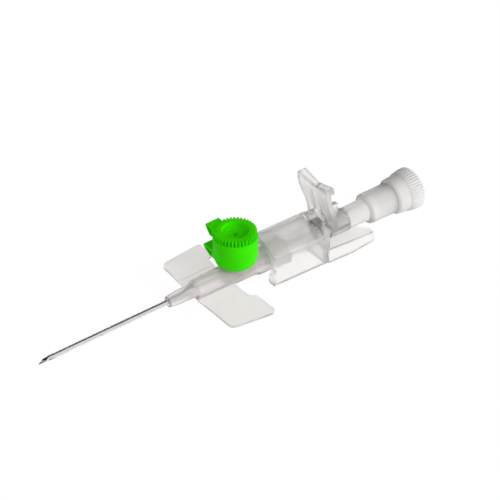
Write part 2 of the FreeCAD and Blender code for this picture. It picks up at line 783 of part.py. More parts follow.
def make_ribs():
    """Return the plate's front rib, its rear web and gusset, and the rounded hood at its foot."""
    rib = prism_y([
        (PLATE_FACE_X - RIB_TOP_DEPTH, RIB_TOP_Z, 0),
        (PLATE_MID_X - RIB_DEPTH, PLATE_MID_Z, 0),
        (PLATE_FOOT_X - RIB_DEPTH, PLATE_FOOT_Z, 0),
        (PLATE_FOOT_X - RIB_DEPTH, FOOT_HOOD_Z, 0),
        (PLATE_FOOT_X + RIB_BITE, FOOT_HOOD_Z, 0),
        (PLATE_FOOT_X + RIB_BITE, PLATE_FOOT_Z, 0),
        (PLATE_MID_X + RIB_BITE, PLATE_MID_Z, 0),
        (PLATE_FACE_X + RIB_BITE, RIB_TOP_Z, 0),
    ], -RIB_WIDTH / 2, RIB_WIDTH / 2)
    face = PLATE_THICKNESS - RIB_BITE
    web = prism_y([
        (PLATE_FACE_X + face, WEB_TOP_Z, 0),
        (PLATE_FACE_X + PLATE_THICKNESS + WEB_DEPTH, WEB_TOP_Z, WEB_CORNER),
        (PLATE_MID_X + PLATE_THICKNESS + WEB_DEPTH, PLATE_MID_Z, 0),
        (PLATE_FOOT_X + PLATE_THICKNESS + WEB_DEPTH, GUSSET_TOP_Z, 0),
        (PLATE_FOOT_X + face, GUSSET_TOP_Z, 0),
        (PLATE_MID_X + face, PLATE_MID_Z, 0),
    ], -GUSSET_WIDTH / 2, GUSSET_WIDTH / 2)
    gusset = prism_y([
        (PLATE_FOOT_X + RIB_BITE, GUSSET_TOP_Z, 0),
        (GUSSET_END_X, GUSSET_TOP_Z, WEB_CORNER),
        (GUSSET_END_X, GUSSET_FOOT_Z, 0),
        (PLATE_FOOT_X + RIB_BITE, GUSSET_FOOT_Z, 0),
    ], -GUSSET_WIDTH / 2, GUSSET_WIDTH / 2)
    hood_length = PLATE_FOOT_X + RIB_BITE - FOOT_HOOD_X
    hood = Part.makeCylinder(FOOT_HOOD_RADIUS, hood_length, vec(FOOT_HOOD_X, 0, FOOT_HOOD_Z), X_AXIS)
    return [rib, web, gusset, hood]


def bush_block():
    """Return the upright form that the bush fills in the grip."""
    return prism_z([
        (BUSH_FRONT_X, -BUSH_WIDTH / 2, BUSH_ROUND),
        (BUSH_FRONT_X + BUSH_LENGTH, -BUSH_WIDTH / 2, BUSH_ROUND),
        (BUSH_FRONT_X + BUSH_LENGTH, BUSH_WIDTH / 2, BUSH_ROUND),
        (BUSH_FRONT_X, BUSH_WIDTH / 2, BUSH_ROUND),
    ], BUSH_FOOT_Z, BUSH_TOP_Z)


def make_bush():
    """Return the dark block that holds the needle's rear end in the grip."""
    return bush_block().cut(rod(BUSH_FRONT_X - 1, BUSH_FRONT_X + BUSH_LENGTH + 1, NEEDLE_OD))


def make_grip():
    """Return the whole needle grip moulding."""
    socket = rod(SHROUD_REAR_X - REAR_WALL, SOCKET_END_X, SOCKET_OD)
    parts = [make_shroud(), make_male_nose(), socket, make_deck(), make_ear(-1), make_ear(1)]
    grip = joined(parts + make_plate() + make_ribs())
    grip = grip.cut(rod(LUER_BODY_X - 1, NEEDLE_END_X, NEEDLE_OD))
    grip = grip.cut(rod(NEEDLE_END_X, SOCKET_BORE_X, NECK_BORE))
    grip = grip.cut(rod(SOCKET_BORE_X, SOCKET_END_X + 1, SOCKET_BORE))
    grip = grip.cut(rod(SOCKET_END_X, EAR_END_X + 1, NECK_OD + 2 * NECK_GAP))
    well = bush_block()
    return grip.cut(well)


# Flash chamber, vent filter and stopper

STOPPER_MOUTH = 4.2


def tail_bore(x):
    """Return the diameter of the cone in the chamber's tail."""
    return STOPPER_MOUTH - LUER_TAPER * (TAIL_END_X - x)


def make_chamber():
    """Return the clear neck and chamber with a cone at its open end."""
    filter_x0 = CHAMBER_END_X - FILTER_GAP - FILTER_LENGTH
    inner = CHAMBER_OD - 2 * CHAMBER_WALL
    cone_x = CHAMBER_END_X - FILTER_GAP
    return turned([
        (SOCKET_BORE_X, NECK_BORE),
        (SOCKET_BORE_X, SOCKET_BORE),
        (SOCKET_END_X, SOCKET_BORE),
        (SOCKET_END_X, NECK_OD),
        (CHAMBER_X - CHAMBER_RISE, NECK_OD),
        (CHAMBER_X, CHAMBER_SHOULDER_OD),
        (CHAMBER_X + CHAMBER_SHOULDER, CHAMBER_OD),
        (CHAMBER_END_X, CHAMBER_OD),
        (CHAMBER_END_X, TAIL_OD),
        (TAIL_END_X, TAIL_OD),
        (TAIL_END_X, STOPPER_MOUTH),
        (cone_x, tail_bore(cone_x)),
        (cone_x, inner),
        (filter_x0, inner),
        (CHAMBER_X + CHAMBER_FLOOR, CHAMBER_FLOOR_OD),
        (CHAMBER_X, NECK_BORE),
    ])


def make_filter():
    """Return the porous plug seated against the chamber's shoulder."""
    inner = CHAMBER_OD - 2 * CHAMBER_WALL
    end = CHAMBER_END_X - FILTER_GAP
    return rod(end - FILTER_LENGTH, end, inner)


def make_stopper():
    """Return the white stopper: plain front, ribbed rim, closed end and a plug inside."""
    cavity = TAIL_OD + 2 * STOPPER_CLEARANCE
    cavity_end = TAIL_END_X + STOPPER_CLEARANCE
    plug_root = STOPPER_MOUTH - 2 * LUER_CLEARANCE
    plug_tip_x = cavity_end - STOPPER_PLUG_LENGTH
    body = turned([
        (plug_tip_x, 0),
        (plug_tip_x, plug_root - LUER_TAPER * (TAIL_END_X - plug_tip_x)),
        (TAIL_END_X, plug_root),
        (cavity_end, plug_root),
        (cavity_end, cavity),
        (CHAMBER_END_X, cavity),
        (CHAMBER_END_X, STOPPER_FRONT_OD),
        (STOPPER_RIM_X - STOPPER_RISE, STOPPER_REAR_OD),
        (STOPPER_RIM_X, STOPPER_RISE_OD),
        (STOPPER_RIM_X + STOPPER_RISE, STOPPER_RIM_OD),
        (STOPPER_END_X - STOPPER_END_ROUND, STOPPER_RIM_OD),
        (STOPPER_END_X, STOPPER_END_OD),
        (STOPPER_END_X, STOPPER_DISH_OD),
        (STOPPER_END_X - STOPPER_DISH_DEPTH, STOPPER_DISH_FLOOR_OD),
        (STOPPER_END_X - STOPPER_DISH_DEPTH, 0),
    ])
    half = (math.pi * STOPPER_RIM_OD / STOPPER_RIB_COUNT - STOPPER_RIB_LAND) / 2
    inner = STOPPER_RIM_OD / 2 - STOPPER_RIB_DEPTH
    outer = STOPPER_RIM_OD / 2 + CUT_MARGIN
    outer_half = half * (STOPPER_RIB_DEPTH + CUT_MARGIN) / STOPPER_RIB_DEPTH
    grooves = []
    for i in range(STOPPER_RIB_COUNT):
        groove = prism_x([
            (inner, 0, 0),
            (outer, -outer_half, 0),
            (outer, outer_half, 0),
        ], STOPPER_RIM_X - STOPPER_RISE, STOPPER_END_X + CUT_MARGIN)
        groove.rotate(vec(0, 0, 0), X_AXIS, i * 360.0 / STOPPER_RIB_COUNT)
        grooves.append(groove)
    return body.cut(Part.makeCompound(grooves))


def build():
    """Return every piece by its node name."""
    return {
        "needle": make_needle(),
        "catheter_tube": make_catheter_tube(),
        "catheter_eyelet": make_eyelet(),
        "catheter_hub": make_hub(),
        "port_valve": make_valve(),
        "port_collar": make_collar(),
        "port_cap": make_cap(),
        "needle_grip": make_grip(),
        "needle_bush": make_bush(),
        "flash_chamber": make_chamber(),
        "vent_filter": make_filter(),
        "stopper": make_stopper(),
    }


os.makedirs("parts", exist_ok=True)
for name, shape in build().items():
    print(name, len(shape.Solids), shape.isValid(), round(shape.Volume, 3), shape.BoundBox)
    shape.exportStep("parts/" + name + ".step")
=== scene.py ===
"""Dresses a ported, winged IV cannula: real finishes, moulded detail and a plain pale studio."""
import logging
import math
from dataclasses import dataclass
from enum import Enum

import bmesh
import bpy
from mathutils import Matrix, Vector


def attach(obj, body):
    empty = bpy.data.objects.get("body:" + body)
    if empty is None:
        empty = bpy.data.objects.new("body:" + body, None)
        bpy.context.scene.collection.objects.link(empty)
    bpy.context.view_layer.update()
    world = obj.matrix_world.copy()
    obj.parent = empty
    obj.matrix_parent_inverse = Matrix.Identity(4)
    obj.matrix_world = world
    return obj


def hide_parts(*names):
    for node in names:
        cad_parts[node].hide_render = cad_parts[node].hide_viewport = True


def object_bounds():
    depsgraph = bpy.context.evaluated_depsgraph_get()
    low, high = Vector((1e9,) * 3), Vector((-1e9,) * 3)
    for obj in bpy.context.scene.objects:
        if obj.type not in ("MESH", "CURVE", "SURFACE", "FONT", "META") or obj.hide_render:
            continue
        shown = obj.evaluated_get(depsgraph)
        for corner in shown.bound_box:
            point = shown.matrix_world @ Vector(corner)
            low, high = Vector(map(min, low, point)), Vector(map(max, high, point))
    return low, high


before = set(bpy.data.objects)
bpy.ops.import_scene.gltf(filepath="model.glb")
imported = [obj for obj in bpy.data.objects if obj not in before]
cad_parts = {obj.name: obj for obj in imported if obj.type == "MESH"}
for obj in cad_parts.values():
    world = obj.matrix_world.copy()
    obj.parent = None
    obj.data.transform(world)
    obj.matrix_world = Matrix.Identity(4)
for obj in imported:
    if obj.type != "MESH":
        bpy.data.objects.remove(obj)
CAD_LOW, CAD_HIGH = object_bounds()

LOG = logging.getLogger("cannula")
MM = 0.001
PORT_X = 18.9
FLOOR_GAP = 0.02

Colour = tuple[float, float, float]
Profile = list[tuple[float, float]]
Outline = list[tuple[float, float]]


class Turning(Enum):
    """The line that a turned piece spins about: the needle's or the port's."""

    NEEDLE = "needle"
    PORT = "port"


class Joining(Enum):
    """How one solid meets another."""

    UNION = "UNION"
    DIFFERENCE = "DIFFERENCE"
    INTERSECT = "INTERSECT"


class Body(Enum):
    """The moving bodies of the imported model."""

    CATHETER = "catheter_unit"
    COLLAR = "port_collar"
    CAP = "port_cap"
    NEEDLE = "needle_unit"
    STOPPER = "stopper"


# Node helpers


class Board:
    """Adds nodes to one tree and wires their sockets."""

    def __init__(self, tree: bpy.types.NodeTree) -> None:
        """Keeps the tree.

        Args:
            tree: the node tree to build in.
        """
        self.tree = tree

    def node(self, kind: str, values: dict[str, object] | None = None,
             settings: dict[str, object] | None = None) -> bpy.types.Node:
        """Adds one node.

        Args:
            kind: the node's type name.
            values: input sockets by name, each a plain value or a socket to link from.
            settings: the node's own options by name.

        Returns:
            The new node.
        """
        made = self.tree.nodes.new(kind)
        for option, choice in (settings or {}).items():
            setattr(made, option, choice)
        for socket, value in (values or {}).items():
            self.feed(made.inputs[socket], value)
        return made

    def feed(self, socket: bpy.types.NodeSocket, value: object) -> None:
        """Links a socket to its source, or sets its value.

        Args:
            socket: the input to fill.
            value: a source socket, a number or a colour.
        """
        if isinstance(value, bpy.types.NodeSocket):
            self.tree.links.new(value, socket)
        elif isinstance(value, tuple) and len(value) == 3 and socket.type == "RGBA":
            socket.default_value = (*value, 1.0)
        else:
            socket.default_value = value

    def blend(self, share: object, first: object, second: object) -> bpy.types.NodeSocket:
        """Mixes two colours.

        Args:
            share: how much of the second colour shows, a value or a socket.
            first: the colour at nought.
            second: the colour at one.

        Returns:
            The mixed colour's socket.
        """
        mix = self.node("ShaderNodeMix", settings={"data_type": "RGBA"})
        self.feed(mix.inputs[0], share)
        self.feed(mix.inputs[6], first)
        self.feed(mix.inputs[7], second)
        return mix.outputs[2]

    def spread(self, value: object, low: float, high: float, start: float = 0.0,
               end: float = 1.0) -> bpy.types.NodeSocket:
        """Maps a value from one range on to another.

        Args:
            value: the socket to read.
            low: the result at the start of the range.
            high: the result at the end of the range.
            start: where the range begins.
            end: where the range ends.

        Returns:
            The mapped value's socket.
        """
        ranged = self.node("ShaderNodeMapRange", {
            "Value": value,
            "From Min": start,
            "From Max": end,
            "To Min": low,
            "To Max": high,
        })
        return ranged.outputs["Result"]

    def maths(self, work: str, first: object, second: object = 0.0) -> bpy.types.NodeSocket:
        """Works on two numbers.

        Args:
            work: the Math node's operation.
            first: the first number or socket.
            second: the second number or socket.

        Returns:
            The result's socket.
        """
        sum_node = self.node("ShaderNodeMath", settings={"operation": work})
        self.feed(sum_node.inputs[0], first)
        self.feed(sum_node.inputs[1], second)
        return sum_node.outputs[0]

    def stretched(self, place: object, stretch: Colour) -> bpy.types.NodeSocket:
        """Scales a position along its axes, which draws a pattern out along the small ones.

        Args:
            place: the position's socket.
            stretch: the factor along X, Y and Z.

        Returns:
            The scaled position's socket.
        """
        scaled = self.node("ShaderNodeVectorMath", settings={"operation": "MULTIPLY"})
        self.feed(scaled.inputs[0], place)
        scaled.inputs[1].default_value = stretch
        return scaled.outputs[0]


class SharedEffects:
    """Node groups that several finishes use, each built once."""

    def __init__(self) -> None:
        """Builds the groups."""
        self.mould_skin = self._mould_skin()
        self.handling_marks = self._handling_marks()

    @staticmethod
    def _opened(name: str, inputs: list[str], outputs: list[str]) -> tuple[Board, bpy.types.Node, bpy.types.Node]:
        """Starts a group with its sockets.

        Args:
            name: the group's name.
            inputs: its numbers, after the position that every group reads.
            outputs: its results.

        Returns:
            The board of the group, its input node and its output node.
        """
        tree = bpy.data.node_groups.new(name, "ShaderNodeTree")
        tree.interface.new_socket("Position", in_out="INPUT", socket_type="NodeSocketVector")
        for socket in inputs:
            tree.interface.new_socket(socket, in_out="INPUT", socket_type="NodeSocketFloat")
        for socket in outputs:
            tree.interface.new_socket(socket, in_out="OUTPUT", socket_type="NodeSocketFloat")
        board = Board(tree)
        return board, board.node("NodeGroupInput"), board.node("NodeGroupOutput")

    def _mould_skin(self) -> bpy.types.NodeTree:
        """Builds the skin of a moulding: the tool's fine grain, and the cloudy flow of the melt.

        Returns:
            The group, with Height and Cloud outputs.
        """
        board, given, result = self._opened(
            "mould_skin", ["Grain Scale", "Flow Scale"], ["Height", "Cloud"])
        grain = board.node("ShaderNodeTexNoise", {
            "Vector": given.outputs["Position"],
            "Scale": given.outputs["Grain Scale"],
            "Detail": 2.0,
            "Roughness": 0.55,
        })
        drawn = board.stretched(given.outputs["Position"], (0.35, 1.0, 1.0))
        flow = board.node("ShaderNodeTexNoise", {
            "Vector": drawn,
            "Scale": given.outputs["Flow Scale"],
            "Detail": 3.0,
            "Roughness": 0.5,
            "Distortion": 0.6,
        })
        cloud = board.spread(flow.outputs[0], 0.0, 1.0, 0.32, 0.68)
        board.feed(result.inputs["Height"], grain.outputs[0])
        board.feed(result.inputs["Cloud"], cloud)
        return board.tree

    def _handling_marks(self) -> bpy.types.NodeTree:
        """Builds faint hairline rubs, in patches, as on anything that has been packed and handled.

        Returns:
            The group, with a Mask output.
        """
        board, given, result = self._opened("handling_marks", ["Mark Scale", "Amount"], ["Mask"])
        drawn = board.stretched(given.outputs["Position"], (0.3, 1.0, 0.8))
        lines = board.node("ShaderNodeTexVoronoi", {
            "Vector": drawn,
            "Scale": given.outputs["Mark Scale"],
            "Randomness": 1.0,
        }, {"feature": "DISTANCE_TO_EDGE"})
        thin = board.spread(lines.outputs["Distance"], 1.0, 0.0, 0.0, 0.035)
        patches = board.node("ShaderNodeTexNoise", {
            "Vector": given.outputs["Position"],
            "Scale": 420.0,
            "Detail": 1.0,
        })
        where = board.spread(patches.outputs[0], 0.0, 1.0, 0.5, 0.68)
        marks = board.maths("MULTIPLY", thin, where)
        board.feed(result.inputs["Mask"], board.maths("MULTIPLY", marks, given.outputs["Amount"]))
        return board.tree


EFFECTS = SharedEffects()


def opened_material(name: str) -> tuple[bpy.types.Material, Board, bpy.types.Node, bpy.types.NodeSocket]:
    """Starts a material with its surface shader and its object position.

    Args:
        name: the finish's name.

    Returns:
        The material, its board, its Principled node and the position's socket.
    """
    material = bpy.data.materials.new(name)
    material.use_nodes = True
    board = Board(material.node_tree)
    surface = material.node_tree.nodes["Principled BSDF"]
    place = board.node("ShaderNodeTexCoord").outputs["Object"]
    return material, board, surface, place


def skin_of(board: Board, place: bpy.types.NodeSocket, grain_scale: float,
            flow_scale: float) -> bpy.types.Node:
    """Places the moulding skin in a material.

    Args:
        board: the material's board.
        place: the position's socket.
        grain_scale: how fine the tool's grain is, per metre.
        flow_scale: how fine the clouds are, per metre.

    Returns:
        The group's node.
    """
    return board.node("ShaderNodeGroup", {
        "Position": place,
        "Grain Scale": grain_scale,
        "Flow Scale": flow_scale,
    }, {"node_tree": EFFECTS.mould_skin})


def marks_of(board: Board, place: bpy.types.NodeSocket, amount: float) -> bpy.types.NodeSocket:
    """Places the handling marks in a material.

    Args:
        board: the material's board.
        place: the position's socket.
        amount: how strong the marks are.

    Returns:
        The mask's socket.
    """
    marks = board.node("ShaderNodeGroup", {
        "Position": place,
        "Mark Scale": 260.0,
        "Amount": amount,
    }, {"node_tree": EFFECTS.handling_marks})
    return marks.outputs["Mask"]


def raise_bump(board: Board, surface: bpy.types.Node, height: object, depth: float) -> None:
    """Gives a surface its fine relief.

    Args:
        board: the material's board.
        surface: the Principled node.
        height: the relief's socket.
        depth: the relief's depth in metres.
    """
    bump = board.node("ShaderNodeBump", {"Height": height, "Strength": 0.6, "Distance": depth})
    board.feed(surface.inputs["Normal"], bump.outputs["Normal"])


# Finishes


@dataclass(frozen=True)
class ClearMoulding:
    """A clear or frosted plastic, with clouds of flow in it and a fine grain on it."""

    name: str
    tint: Colour
    cloud_tint: Colour
    clearness: float
    roughness: float
    cloud_roughness: float
    grain_depth: float
    refraction: float = 1.45
    grain_scale: float = 5200.0
    flow_scale: float = 210.0
    window: tuple[float, float, float] = (0.0, 0.0, 0.0)
    window_radius: float = 0.0
    window_roughness: float = 0.03

    def polished(self, board: Board, place: bpy.types.NodeSocket,
                 rough: bpy.types.NodeSocket) -> bpy.types.NodeSocket:
        """Polishes a round window, where the mould was polished so that one can look in.

        Args:
            board: the material's board.
            place: the position's socket.
            rough: the roughness elsewhere.

        Returns:
            The roughness with the window in it.
        """
        away = board.node("ShaderNodeVectorMath", settings={"operation": "DISTANCE"})
        board.feed(away.inputs[0], place)
        away.inputs[1].default_value = tuple(length * MM for length in self.window)
        rim = self.window_radius * MM
        share = board.spread(away.outputs["Value"], 0.0, 1.0, 0.5 * rim, rim)
        frost = board.maths("MULTIPLY", rough, share)
        return board.maths("MAXIMUM", frost, self.window_roughness)

    def material(self) -> bpy.types.Material:
        """Builds the material.

        Returns:
            The finish as a material.
        """
        material, board, surface, place = opened_material(self.name)
        skin = skin_of(board, place, self.grain_scale, self.flow_scale)
        marks = marks_of(board, place, 0.02)
        cloud = skin.outputs["Cloud"]
        rough = board.maths("ADD", board.spread(cloud, self.roughness, self.cloud_roughness), marks)
        if self.window_radius > 0:
            rough = self.polished(board, place, rough)
        board.feed(surface.inputs["Base Color"], board.blend(cloud, self.tint, self.cloud_tint))
        board.feed(surface.inputs["Roughness"], rough)
        board.feed(surface.inputs["Transmission Weight"], self.clearness)
        board.feed(surface.inputs["IOR"], self.refraction)
        raise_bump(board, surface, skin.outputs["Height"], self.grain_depth)
        return material


@dataclass(frozen=True)
class ColouredMoulding:
    """An opaque plastic coloured through, with a slight swirl of pigment."""

    name: str
    colour: Colour
    swirl_colour: Colour
    roughness: float
    swirl_roughness: float
    grain_depth: float
    softness: float = 0.0
    shine: float = 0.5
    grain_scale: float = 6000.0
    flow_scale: float = 300.0

    def material(self) -> bpy.types.Material:
        """Builds the material.

        Returns:
            The finish as a material.
        """
        material, board, surface, place = opened_material(self.name)
        skin = skin_of(board, place, self.grain_scale, self.flow_scale)
        marks = marks_of(board, place, 0.12)
        cloud = skin.outputs["Cloud"]
        rough = board.spread(cloud, self.roughness, self.swirl_roughness)
        board.feed(surface.inputs["Base Color"], board.blend(cloud, self.colour, self.swirl_colour))
        board.feed(surface.inputs["Roughness"], board.maths("ADD", rough, marks))
        board.feed(surface.inputs["Subsurface Weight"], self.softness)
        surface.inputs["Specular IOR Level"].default_value = self.shine
        surface.inputs["Subsurface Radius"].default_value = (1.0, 1.0, 1.0)
        surface.inputs["Subsurface Scale"].default_value = 0.0012
        raise_bump(board, surface, skin.outputs["Height"], self.grain_depth)
        return material


@dataclass(frozen=True)
class DrawnSteel:
    """Stainless tube with the fine lines of its drawing along it."""

    name: str
    colour: Colour
    line_colour: Colour
    roughness: float
    line_roughness: float

    def material(self) -> bpy.types.Material:
        """Builds the material.

        Returns:
            The finish as a material.
        """
        material, board, surface, place = opened_material(self.name)
        drawn = board.stretched(place, (0.02, 1.0, 1.0))
        lines = board.node("ShaderNodeTexNoise", {"Vector": drawn, "Scale": 9000.0, "Detail": 2.0})
        marks = marks_of(board, place, 0.10)
        line = board.spread(lines.outputs[0], 0.0, 1.0, 0.35, 0.65)
        rough = board.spread(line, self.roughness, self.line_roughness)
        board.feed(surface.inputs["Base Color"], board.blend(line, self.colour, self.line_colour))
        board.feed(surface.inputs["Roughness"], board.maths("ADD", rough, marks))
        surface.inputs["Metallic"].default_value = 1.0
        raise_bump(board, surface, line, 0.000004)
        return material


@dataclass(frozen=True)
class PorousPlug:
    """Sintered beads, with painted shade in the pores between them: the colour darkens where the beads dip."""

    name: str
    colour: Colour
    pore_shade_colour: Colour

    def material(self) -> bpy.types.Material:
        """Builds the material.

        Returns:
            The finish as a material.
        """
        material, board, surface, place = opened_material(self.name)
        beads = board.node("ShaderNodeTexVoronoi", {"Vector": place, "Scale": 3800.0})
        pore_shade = board.spread(beads.outputs["Distance"], 0.0, 1.0, 0.35, 0.75)
        # Painted shade: the pores between the beads take the darker colour, where the bump puts them low.
        board.feed(surface.inputs["Base Color"], board.blend(pore_shade, self.colour, self.pore_shade_colour))
        board.feed(surface.inputs["Roughness"], board.spread(pore_shade, 0.7, 0.95))
        height = board.spread(beads.outputs["Distance"], 1.0, 0.0, 0.0, 0.7)
        raise_bump(board, surface, height, 0.00006)
        return material


STEEL = DrawnSteel("drawn_steel", (0.82, 0.81, 0.81), (0.72, 0.71, 0.71), 0.12, 0.20)
SOFT_TUBE = ClearMoulding(
    "soft_tube", (0.95, 0.945, 0.945), (0.93, 0.925, 0.925), 0.97, 0.04, 0.08, 0.000001, 1.34)
HUB_PLASTIC = ClearMoulding(
    "hub_plastic", (0.985, 0.948, 0.942), (0.975, 0.938, 0.932), 0.72, 0.30, 0.36, 0.000004, 1.22)
GRIP_PLASTIC = ClearMoulding(
    "grip_plastic", (0.96, 0.942, 0.932), (0.95, 0.932, 0.922), 0.82, 0.30, 0.36, 0.000005, 1.22,
    window=(39.7, -2.3, 3.7), window_radius=1.8, window_roughness=0.06)
CHAMBER_PLASTIC = ClearMoulding(
    "chamber_plastic", (0.98, 0.962, 0.952), (0.97, 0.952, 0.942), 0.58, 0.36, 0.42, 0.000004, 1.22)
# Partly the sleeve's own pinkish grey, partly painted shade: darker than the silicone itself, so the hub under
# the cap looks shaded through its clear wall.
SILICONE_AND_SHADE = ClearMoulding(
    "silicone", (0.50, 0.42, 0.40), (0.44, 0.37, 0.35), 0.30, 0.35, 0.45, 0.000004, 1.41)
GREEN_PLASTIC = ColouredMoulding(
    "green_plastic", (0.046, 0.75, 0.001), (0.039, 0.70, 0.001), 0.40, 0.48, 0.000006, shine=0.03)
WHITE_PLASTIC = ColouredMoulding(
    "white_plastic", (0.68, 0.662, 0.66), (0.65, 0.632, 0.63), 0.38, 0.48, 0.000006, 0.5, 0.35)
# Painted shade: a near-black finish for the block that stands for the shadow inside the grip's well.
WELL_SHADE_PLASTIC = ColouredMoulding(
    "dark_plastic", (0.022, 0.019, 0.022), (0.036, 0.032, 0.036), 0.40, 0.55, 0.00001)
# The second colour is painted shade for the pores between the beads.
FILTER_PLASTIC = PorousPlug("filter_plastic", (0.72, 0.71, 0.63), (0.50, 0.49, 0.42))


# Mesh helpers


class Workpiece:
    """A closed mesh in millimetres on its way to becoming a finished piece."""

    def __init__(self) -> None:
        """Starts empty."""
        self.shape = bmesh.new()

    @classmethod
    def copied(cls, node: str) -> "Workpiece":
        """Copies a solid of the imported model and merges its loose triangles.

        Args:
            node: the solid's name.

        Returns:
            The copy, in millimetres.
        """
        piece = cls()
        piece.shape.from_mesh(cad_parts[node].data)
        bmesh.ops.scale(piece.shape, vec=(1 / MM, 1 / MM, 1 / MM), verts=piece.shape.verts)
        return piece.merged(0.0015)

    @classmethod
    def turned(cls, line: Turning, profile: Profile, steps: int = 72, ring: bool = False) -> "Workpiece":
        """Spins a profile once round its line.

        Args:
            line: the line to spin about.
            profile: places along the line with the diameter at each.
            steps: how many steps make the round.
            ring: True where the profile closes on itself, as a tube's does.

        Returns:
            The turned piece.
        """
        piece = cls()
        bm = piece.shape
        if line is Turning.NEEDLE:
            centre, axis = Vector((0, 0, 0)), Vector((1, 0, 0))
            places = [(along, 0.0, across / 2) for along, across in profile]
        else:
            centre, axis = Vector((PORT_X, 0, 0)), Vector((0, 0, 1))
            places = [(PORT_X + across / 2, 0.0, along) for along, across in profile]
        verts = [bm.verts.new(place) for place in places]
        edges = [bm.edges.new(pair) for pair in zip(verts, verts[1:])]
        if ring:
            edges.append(bm.edges.new((verts[-1], verts[0])))
        bmesh.ops.spin(
            bm, geom=verts + edges, cent=centre, axis=axis, dvec=(0, 0, 0),
            angle=math.tau, steps=steps, use_merge=True, use_duplicate=False)
        return piece.merged(0.0005).outward()

    @classmethod
    def prism(cls, outline: Outline, start: float, end: float, place: Matrix,
              round_by: float = 0.0) -> "Workpiece":
        """Extrudes a flat outline.

        Args:
            outline: the corners, in the outline's own plane.
            start: where the prism starts along the plane's normal.
            end: where it ends.
            place: turns the plane into the row frame.
            round_by: the radius of the outline's corners.

        Returns:
            The prism.
        """
        piece = cls()
        bm = piece.shape
        face = bm.faces.new([bm.verts.new((x, y, start)) for x, y in outline])
        if round_by > 0:
            bmesh.ops.bevel(
                bm, geom=list(face.verts), offset=round_by, offset_type="OFFSET", segments=4,
                profile=0.5, affect="VERTICES", clamp_overlap=True, material=-1)
        grown = bmesh.ops.extrude_face_region(bm, geom=list(bm.faces))
        lifted = [item for item in grown["geom"] if isinstance(item, bmesh.types.BMVert)]
        bmesh.ops.translate(bm, vec=(0, 0, end - start), verts=lifted)
        bmesh.ops.transform(bm, matrix=place, verts=bm.verts)
        return piece.outward()

    def merged(self, reach: float) -> "Workpiece":
        """Merges points nearer to each other than the reach."""
        bmesh.ops.remove_doubles(self.shape, verts=self.shape.verts, dist=reach)
        return self

    def outward(self) -> "Workpiece":
        """Turns every face outwards."""
        bmesh.ops.recalc_face_normals(self.shape, faces=self.shape.faces)
        return self

    def flattened(self, degrees: float) -> "Workpiece":
        """Joins faces that lie in one plane.

        Args:
            degrees: how far out of plane they may be.

        Returns:
            The piece itself.
        """
        bmesh.ops.dissolve_limit(
            self.shape, angle_limit=math.radians(degrees), use_dissolve_boundaries=False,
            verts=self.shape.verts, edges=self.shape.edges, delimit=set())
        return self

    def softened(self, width: float, degrees: float = 32.0, segments: int = 2,
                 where: float | None = None) -> "Workpiece":
        """Rounds the sharp edges, as a mould's edges are.

        Args:
            width: how far the rounding reaches from the edge.
            degrees: edges that turn more than this are rounded.
            segments: faces across the rounding.
            where: only edges longer than this are rounded, if given.

        Returns:
            The piece itself.
        """
        limit = math.radians(degrees)
        edges = [
            edge for edge in self.shape.edges
            if len(edge.link_faces) == 2 and edge.calc_face_angle(0.0) > limit
            and (where is None or edge.calc_length() > where)
        ]
        bmesh.ops.bevel(
            self.shape, geom=edges, offset=width, offset_type="OFFSET", segments=segments,
            profile=0.5, affect="EDGES", clamp_overlap=True, material=-1)
        return self

    def ground(self, point: Vector, normal: Vector) -> "Workpiece":
        """Takes away what lies beyond a plane and closes the cut.

        Args:
            point: a point of the plane.
            normal: the side that is taken away.

        Returns:
            The piece itself.
        """
        bm = self.shape
        everything = list(bm.verts) + list(bm.edges) + list(bm.faces)
        bmesh.ops.bisect_plane(
            bm, geom=everything, dist=1e-5, plane_co=point, plane_no=normal, clear_outer=True)
        rim = [edge for edge in bm.edges if edge.is_boundary]
        bmesh.ops.triangle_fill(bm, use_beauty=True, use_dissolve=False, edges=rim)
        return self.outward()

    def repeated(self, line: Turning, count: int) -> "Workpiece":
        """Repeats the piece round a line.

        Args:
            line: the line to go round.
            count: how many there are in the full round.

        Returns:
            The piece itself, with its copies.
        """
        bm = self.shape
        first = list(bm.verts) + list(bm.edges) + list(bm.faces)
        centre = Vector((0, 0, 0)) if line is Turning.NEEDLE else Vector((PORT_X, 0, 0))
        axis = "X" if line is Turning.NEEDLE else "Z"
        for step in range(1, count):
            copy = bmesh.ops.duplicate(bm, geom=first)
            verts = [item for item in copy["geom"] if isinstance(item, bmesh.types.BMVert)]
            turn = Matrix.Rotation(math.tau * step / count, 3, axis)
            bmesh.ops.rotate(bm, cent=centre, matrix=turn, verts=verts)
        return self

    def loose_object(self, name: str) -> bpy.types.Object:
        """Puts the mesh into the scene as it is, in millimetres."""
        mesh = bpy.data.meshes.new(name)
        self.shape.to_mesh(mesh)
        thing = bpy.data.objects.new(name, mesh)
        bpy.context.scene.collection.objects.link(thing)
        return thing

    def joined(self, other: "Workpiece", how: Joining = Joining.UNION) -> "Workpiece":
        """Joins, cuts or crosses this piece with another.

        Args:
            other: the second solid.
            how: what is kept.

        Returns:
            The piece itself, with the result as its shape.
        """
        first = self.loose_object("work_first")
        second = other.loose_object("work_second")
        cut = first.modifiers.new("work", "BOOLEAN")
        cut.operation = how.value
        cut.solver = "EXACT"
        cut.object = second
        graph = bpy.context.evaluated_depsgraph_get()
        result = bpy.data.meshes.new_from_object(first.evaluated_get(graph))
        self.shape.free()
        self.shape = bmesh.new()
        self.shape.from_mesh(result)
        for thing in (first, second):
            mesh = thing.data
            bpy.data.objects.remove(thing)
            bpy.data.meshes.remove(mesh)
        bpy.data.meshes.remove(result)
        return self

